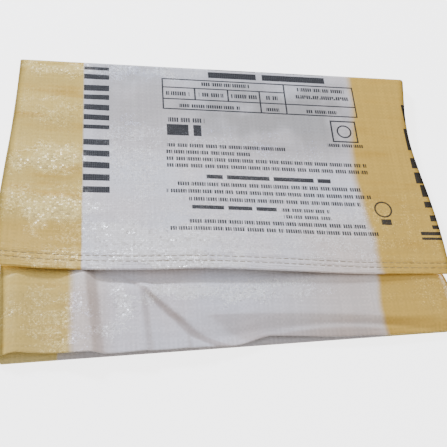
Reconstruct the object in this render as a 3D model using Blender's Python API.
"""An empty sack of woven plastic, folded once across, lying with its sewn end on top.

Metres, +Z up. X runs along the sewn end and Y from the mouth towards the fold. The underside lies on
Z = 0, and the origin is under the middle of the folded sack.
"""

import math

import bmesh
import bpy
import numpy as np

# The flat tube
SACK_WIDTH = 0.520
WALL = 0.0007
TUBE_THICKNESS = 0.0036

# The hem, which closes the end that lies on top
HEM_DEPTH = 0.0235
HEM_THICKNESS = 0.0024
HEM_TAPER = 0.022
POCKET_CLEARANCE = 0.003

# The fold, where the tube turns under itself
FOLD_REACH = 0.2995
FOLD_RADIUS = 0.0075
FOLD_SLOPE = math.radians(1.4)
UPPER_SAG = 0.0018

# The hem arches up in the middle, and bows a little towards the fold there
HEM_ARCH = 0.0024
HEM_BOW = 0.0015
HEM_ARCH_SPREAD = 0.125
HEM_ARCH_LENGTH = 0.090

# The mouth, which reaches out past the hem on the floor
MOUTH_REACH = 0.086
MOUTH_SLOPE = math.radians(4.6)

# How far the lower half's upper wall rises over its plain lie once it is out from under the hem. A slanting
# pleat parts the left panel, which stays up to the mouth, from the right one, which breaks and falls.
SWELL_START = 0.004
SWELL_RUN = 0.022
RIGHT_SWELL_LEAD = 0.014
LEFT_LIFT = 0.0048
LEFT_MOUTH_LIFT = 0.0056
RIGHT_LIFT = 0.0072
RIGHT_LIFT_START = 0.020
RIGHT_LIFT_RUN = 0.130
BREAK_LIFT = 0.0062
BREAK_Y = -0.048
FALL_RUN = 0.018
LIP_LIFT = 0.0016
PLEAT_AT_HEM = -0.136
PLEAT_AT_MOUTH = -0.010
PLEAT_WIDTH = 0.022
LEFT_EDGE_LIFT = 0.0030
SIDE_FALL = 0.018

# The side folds. Each strays from a straight line on the tube's flat width: by the first two values at its
# two ends, and in between by draws, each of so much, centred so far behind the hem's edge, spread so wide.
UPPER_LEFT_SIDE = {"hem": -0.004, "fold": 0.006, "draws": [(-0.007, 0.070, 0.110)]}
UPPER_RIGHT_SIDE = {"hem": -0.002, "fold": 0.002, "draws": [(-0.016, 0.206, 0.097)]}
LOWER_LEFT_SIDE = {"mouth": 0.004, "fold": 0.006, "draws": [(-0.008, 0.060, 0.110)]}
LOWER_RIGHT_SIDE = {
    "mouth": -0.002,
    "fold": -0.002,
    "draws": [(-0.017, 0.020, 0.028), (-0.018, 0.200, 0.090)],
}

# The two rows of chain stitch along the hem, each so far from its edge in the middle, and a little askew
STITCH_ROWS = {"stitch_row_outer": 0.0093, "stitch_row_inner": 0.0157}
STITCH_SLANT = math.radians(-0.4)
STITCH_PITCH = 0.009
STITCH_WIDTH = 0.0014
STITCH_WAIST = 0.0008
STITCH_HEIGHT = 0.0006
STITCH_INSET = 0.005
SEAT_GAP = 0.0003

# How finely the surfaces are divided
ACROSS = 30
ALONG_UPPER = 8
ALONG_HIDDEN = 6
ALONG_STRIP = 14
AROUND_FOLD = 8
AROUND_SIDE = 4
AROUND_THREAD = 6

FOLD_AXIS_Y = FOLD_REACH - FOLD_RADIUS
FOLD_AXIS_Z = FOLD_RADIUS
UPPER_MIDDLE = FOLD_RADIUS - TUBE_THICKNESS / 2


def smooth(t):
    """0 below 0, 1 above 1, and an even ramp between."""
    t = np.clip(t, 0.0, 1.0)
    return t * t * (3.0 - 2.0 * t)


def fold_y(x):
    """Y of the fold's axis, which runs a little askew."""
    return FOLD_AXIS_Y + x * math.tan(FOLD_SLOPE)


def mouth_y(x):
    """Y of the mouth's edge, cut askew."""
    return -MOUTH_REACH + x * math.tan(MOUTH_SLOPE)


def stray(side, start, share, y):
    """How far a side fold lies to the right of its straight line."""
    drawn = sum(draw * np.exp(-(((y - at) / spread) ** 2)) for draw, at, spread in side["draws"])
    return side[start] + (side["fold"] - side[start]) * share + drawn


def side_lines(half, share, y):
    """X of the left and right side folds of the upper or lower half at y."""
    if half == "upper":
        left, right, start = UPPER_LEFT_SIDE, UPPER_RIGHT_SIDE, "hem"
    else:
        left, right, start = LOWER_LEFT_SIDE, LOWER_RIGHT_SIDE, "mouth"
    middle = SACK_WIDTH / 2
    return stray(left, start, share, y) - middle, stray(right, start, share, y) + middle


def hem_arch(x, y):
    """The hem's arch as a share of its full height, which fades towards the fold."""
    return math.exp(-((x / HEM_ARCH_SPREAD) ** 2)) * smooth(1.0 - y / HEM_ARCH_LENGTH)


def upper_rise(x, y):
    """How far the upper half lies above its plain lie: it sags between the hem and the fold."""
    share = np.clip(y / FOLD_AXIS_Y, 0.0, 1.0)
    return HEM_ARCH * hem_arch(x, y) - UPPER_SAG * np.sin(math.pi * share) ** 2


def upper_thickness(y):
    """The upper half's thickness over both walls: the hem is pressed flat."""
    ramp = smooth((y - HEM_DEPTH) / HEM_TAPER)
    return HEM_THICKNESS + (TUBE_THICKNESS - HEM_THICKNESS) * ramp


def left_panel(y):
    """How far the panel left of the pleat rises."""
    return LEFT_LIFT + (LEFT_MOUTH_LIFT - LEFT_LIFT) * smooth(-y / MOUTH_REACH)


def far_right(x):
    """0 in the middle of the sack, 1 near its right side, where the lower half reaches up to the hem."""
    return smooth((x - RIGHT_LIFT_START) / RIGHT_LIFT_RUN)


def right_panel(x, y):
    """How far the panel right of the pleat rises: it falls behind the break, and its edge is a lip."""
    at_hem = LEFT_LIFT + (RIGHT_LIFT - LEFT_LIFT) * far_right(x)
    to_break = smooth(y / BREAK_Y)
    past_break = (BREAK_Y - y) / FALL_RUN
    behind = (at_hem + (BREAK_LIFT - at_hem) * to_break) * (1 - smooth(past_break))
    return behind + LIP_LIFT * smooth(past_break - 1)


def lower_thickness(x, y, left, right):
    """The lower half's thickness over both walls, where its upper wall swells in front of the hem."""
    swell = smooth((SWELL_START + RIGHT_SWELL_LEAD * far_right(x) - y) / SWELL_RUN)
    crest = PLEAT_AT_HEM - (PLEAT_AT_MOUTH - PLEAT_AT_HEM) * y / MOUTH_REACH
    right_of_pleat = smooth((x - crest + PLEAT_WIDTH) / PLEAT_WIDTH)
    rise = left_panel(y) + (right_panel(x, y) - left_panel(y)) * right_of_pleat
    at_edge = LEFT_EDGE_LIFT * smooth(0.5 - x / SACK_WIDTH)
    from_side = smooth(np.minimum(x - left, right - x) / SIDE_FALL)
    return TUBE_THICKNESS + swell * (at_edge + (rise - at_edge) * from_side)


def ring(place, left, right, front, back, inset):
    """One loop around the tube, as points: its front wall, right side fold, back wall and left side fold.

    front(x) and back(x) are the distances of the two skins from the fold's axis, place(x, distance) turns
    a distance into a point, and inset is how far the loop lies inside the outer skin.
    """
    (left_reach, left_middle), (right_reach, right_middle) = [
        ((front(x) - back(x)) / 2, (front(x) + back(x)) / 2) for x in (left, right)]
    flat = np.linspace(left + left_reach, right - right_reach, ACROSS + 1)
    turn = np.linspace(math.pi / 2, -math.pi / 2, AROUND_SIDE + 1)[1:-1]
    loop = [place(x, front(x) - inset) for x in flat]
    radius = right_reach - inset
    loop += [place(flat[-1] + radius * math.cos(a), right_middle + radius * math.sin(a)) for a in turn]
    loop += [place(x, back(x) + inset) for x in flat[::-1]]
    radius = left_reach - inset
    loop += [place(flat[0] - radius * math.cos(a), left_middle + radius * math.sin(a)) for a in turn[::-1]]
    return loop


def upper_ring(share, inset):
    """A loop of the upper half, share of the way from the hem's edge to the fold."""
    y_middle = share * FOLD_AXIS_Y
    left, right = side_lines("upper", share, y_middle)
    half = upper_thickness(y_middle) / 2

    def place(x, distance):
        y = share * fold_y(x)
        return (x, y + HEM_BOW * hem_arch(x, y), FOLD_AXIS_Z + distance + upper_rise(x, y))

    return ring(place, left, right, lambda x: UPPER_MIDDLE + half, lambda x: UPPER_MIDDLE - half, inset)


def fold_ring(share, inset):
    """A loop of the turn, share of the way round it from the top."""
    angle = share * math.pi
    upper = side_lines("upper", 1.0, FOLD_AXIS_Y)
    lower = side_lines("lower", 1.0, FOLD_AXIS_Y)
    left, right = [above + share * (below - above) for above, below in zip(upper, lower)]

    def place(x, distance):
        return (x, fold_y(x) + distance * math.sin(angle), FOLD_AXIS_Z + distance * math.cos(angle))

    return ring(place, left, right, lambda x: FOLD_RADIUS, lambda x: FOLD_RADIUS - TUBE_THICKNESS, inset)


def lower_ring(share, inset):
    """A loop of the lower half, share of the way from the fold to the mouth."""
    y_middle = FOLD_AXIS_Y - share * (FOLD_AXIS_Y + MOUTH_REACH)
    left, right = side_lines("lower", 1.0 - share, y_middle)

    def y_at(x):
        return fold_y(x) - share * (fold_y(x) - mouth_y(x))

    def place(x, distance):
        return (x, y_at(x), FOLD_AXIS_Z - distance)

    def back(x):
        return FOLD_RADIUS - lower_thickness(x, y_at(x), left, right)

    return ring(place, left, right, lambda x: FOLD_RADIUS, back, inset)


def sack_rings(inset):
    """The loops of one skin from hem to mouth: the outer one, or the inner, which stops at the hem."""
    hem = HEM_DEPTH / FOLD_AXIS_Y
    taper = HEM_TAPER / FOLD_AXIS_Y
    start = [0.0, hem] if inset == 0 else [(HEM_DEPTH + POCKET_CLEARANCE) / FOLD_AXIS_Y]
    upper = start + [hem + taper / 2] + list(np.linspace(hem + taper, 1.0, ALONG_UPPER + 1))
    fold = np.linspace(0.0, 1.0, AROUND_FOLD + 1)[1:]
    strip = (FOLD_AXIS_Y - SWELL_START - RIGHT_SWELL_LEAD) / (FOLD_AXIS_Y + MOUTH_REACH)
    lower = list(np.linspace(0.0, strip, ALONG_HIDDEN + 1)[1:])
    lower += list(np.linspace(strip, 1.0, ALONG_STRIP + 1)[1:])
    rings = [upper_ring(share, inset) for share in upper]
    rings += [fold_ring(share, inset) for share in fold]
    rings += [lower_ring(share, inset) for share in lower]
    return rings


def lofted(rings):
    """A mesh through a list of loops, open at both ends."""
    shape = bmesh.new()
    loops = [[shape.verts.new(point) for point in loop] for loop in rings]
    for near, far in zip(loops, loops[1:]):
        for i in range(len(near)):
            j = (i + 1) % len(near)
            shape.faces.new((near[i], near[j], far[j], far[i]))
    return shape, loops


def close_flat_loop(shape, loop):
    """Close a loop of the tube with quads between its two walls and one face in each side fold."""
    right_back = ACROSS + AROUND_SIDE
    for i in range(ACROSS):
        opposite = right_back + ACROSS - i
        shape.faces.new((loop[i], loop[i + 1], loop[opposite - 1], loop[opposite]))
    shape.faces.new(loop[ACROSS : right_back + 1])
    shape.faces.new(loop[right_back + ACROSS :] + [loop[0]])


def plastic(name, colour, roughness):
    """A plastic of one colour."""
    made = bpy.data.materials.new(name)
    made.use_nodes = True
    surface = made.node_tree.nodes["Principled BSDF"]
    surface.inputs["Base Color"].default_value = (*colour, 1.0)
    surface.inputs["Roughness"].default_value = roughness
    surface.inputs["Metallic"].default_value = 0.0
    return made


def finished(name, shape, made):
    """Put a mesh into the scene as a named object, its faces outwards."""
    bmesh.ops.recalc_face_normals(shape, faces=shape.faces)
    mesh = bpy.data.meshes.new(name)
    shape.to_mesh(mesh)
    shape.free()
    mesh.materials.append(made)
    mesh.shade_smooth()
    mesh.set_sharp_from_angle(angle=math.radians(40))
    placed = bpy.data.objects.new(name, mesh)
    bpy.context.scene.collection.objects.link(placed)
    return placed


def make_sack():
    """The tube, its two skins joined around the mouth's edge and each closed at the hem."""
    shape, loops = lofted(sack_rings(0.0) + sack_rings(WALL)[::-1])
    close_flat_loop(shape, loops[0])
    close_flat_loop(shape, loops[-1])
    return finished("sack", shape, plastic("woven_plastic", (0.60, 0.60, 0.65), 0.45))


def make_stitch_row(name, from_edge):
    """One row of stitches on top of the hem: a thread that narrows at each needle hole."""
    share = from_edge / FOLD_AXIS_Y
    left, right = side_lines("upper", share, from_edge)
    left, right = left + STITCH_INSET, right - STITCH_INSET
    stitches = round((right - left) / STITCH_PITCH)
    seat = FOLD_AXIS_Z + UPPER_MIDDLE + HEM_THICKNESS / 2 + SEAT_GAP
    rings = []
    for step in range(2 * stitches + 1):
        x = left + (right - left) * step / (2 * stitches)
        half = (STITCH_WIDTH if step % 2 else STITCH_WAIST) / 2
        y = share * fold_y(x) + x * math.tan(STITCH_SLANT)
        y_middle, under = y + HEM_BOW * hem_arch(x, y), seat + upper_rise(x, y)
        loop = []
        for corner in range(AROUND_THREAD):
            angle = 2 * math.pi * (corner + 0.5) / AROUND_THREAD
            rise = STITCH_HEIGHT / 2 * (1 + math.sin(angle))
            loop.append((x, y_middle + half * math.cos(angle), under + rise))
        rings.append(loop)
    shape, loops = lofted(rings)
    shape.faces.new(loops[0])
    shape.faces.new(loops[-1])
    return finished(name, shape, plastic(name + "_thread", (0.70, 0.66, 0.55), 0.8))


def centre(pieces):
    """Move the pieces so that the middle of the folded sack is over the origin."""
    corners = np.array([vertex.co for vertex in pieces[0].data.vertices])
    middle = (corners.min(axis=0) + corners.max(axis=0)) / 2
    for piece in pieces:
        for vertex in piece.data.vertices:
            vertex.co.x -= middle[0]
            vertex.co.y -= middle[1]


for old in list(bpy.data.objects):
    bpy.data.objects.remove(old)

made = [make_sack()]
made += [make_stitch_row(name, from_edge) for name, from_edge in STITCH_ROWS.items()]
centre(made)
